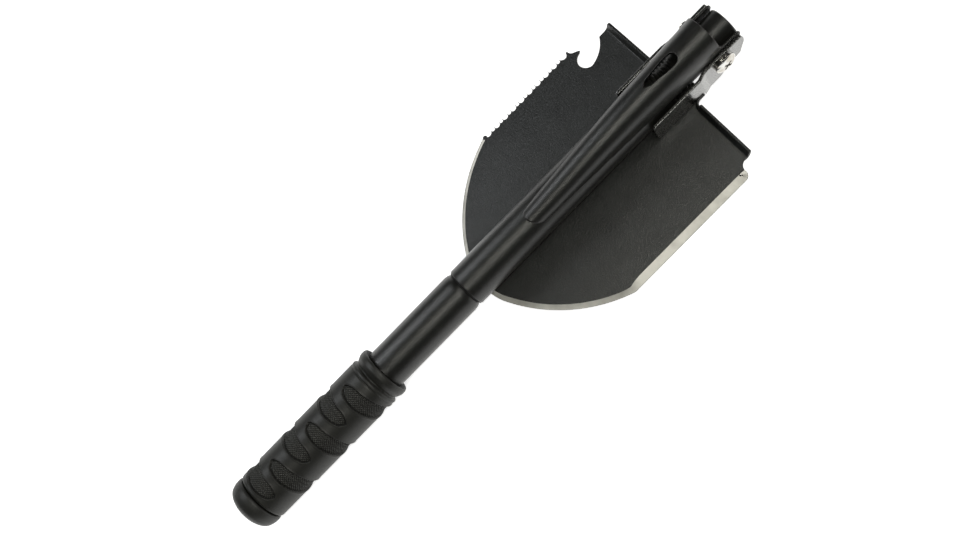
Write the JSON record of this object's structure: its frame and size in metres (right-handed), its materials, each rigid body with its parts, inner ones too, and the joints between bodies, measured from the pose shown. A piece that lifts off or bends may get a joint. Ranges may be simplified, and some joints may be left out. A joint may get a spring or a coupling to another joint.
{
  "type": "folding camp shovel",
  "caption": "Compact folding shovel with a saw-edged spade blade and a hollow pick on one pivot, and a screwed tube handle with a rubber grip.",
  "frame": {"origin": "centre of the flat face on the end cap's butt, on the handle's axis", "axes": "+X along the handle from butt to head, +Z towards the pick, -Z towards the blade, +Y towards the blade's saw edge as folded"},
  "size_m": [0.3413, 0.117, 0.0421],
  "materials": {
    "black_steel": "satin black powder coat",
    "blade_coat": "satin black powder coat with fine orange peel, bare ground edges",
    "plated_steel": "bright zinc plate",
    "grip_rubber": "matt moulded rubber with knurled windows",
    "cap_plastic": "matt moulded",
    "seal_rubber": "matt"
  },
  "bodies": {
    "head": {"head_post": "black_steel"},
    "blade": {"blade": "blade_coat", "blade_bracket": "black_steel", "bracket_rivets": "black_steel", "pivot_screw": "plated_steel", "spring_washer": "plated_steel"},
    "pick": {"pick": "black_steel"},
    "lock_ring": {"lock_ring": "black_steel"},
    "upper_handle": {"upper_tube": "black_steel"},
    "seam": {"seam_washer": "seal_rubber"},
    "lower_handle": {"lower_tube": "black_steel", "coupling_stud": "plated_steel", "grip_sleeve": "grip_rubber"},
    "cap_seal": {"cap_seal": "seal_rubber"},
    "end_cap": {"end_cap": "cap_plastic"}
  },
  "joints": [
    {"name": "blade_fold", "type": "hinge", "parent": "head", "child": "blade", "pos_m": [0.3264, 0, 0], "axis": [0, -1, 0], "range_deg": [0, 180]},
    {"name": "pick_fold", "type": "hinge", "parent": "head", "child": "pick", "pos_m": [0.3264, 0, 0], "axis": [0, 1, 0], "range_deg": [0, 180]},
    {"name": "lock_travel", "type": "slide", "parent": "head", "child": "lock_ring", "axis": [1, 0, 0], "range_m": [0, 0.012]},
    {"name": "lock_turn", "type": "hinge", "parent": "lock_ring", "child": "upper_handle", "pos_m": [0.2954, 0, 0], "axis": [1, 0, 0], "range_deg": [0, 2160]},
    {"name": "handle_travel", "type": "slide", "parent": "upper_handle", "child": "seam", "axis": [-1, 0, 0], "range_m": [0, 0.012]},
    {"name": "handle_turn", "type": "hinge", "parent": "seam", "child": "lower_handle", "pos_m": [0.16, 0, 0], "axis": [-1, 0, 0], "range_deg": [0, 2160]},
    {"name": "cap_travel", "type": "slide", "parent": "lower_handle", "child": "cap_seal", "axis": [-1, 0, 0], "range_m": [0, 0.008]},
    {"name": "cap_turn", "type": "hinge", "parent": "cap_seal", "child": "end_cap", "pos_m": [0, 0, 0], "axis": [-1, 0, 0], "range_deg": [0, 1440]}
  ],
  "couplings": [
    {"joint": "lock_turn", "follows": "lock_travel", "rad_per_m": 3141.6},
    {"joint": "handle_turn", "follows": "handle_travel", "rad_per_m": 3141.6},
    {"joint": "cap_turn", "follows": "cap_travel", "rad_per_m": 3141.6}
  ]
}
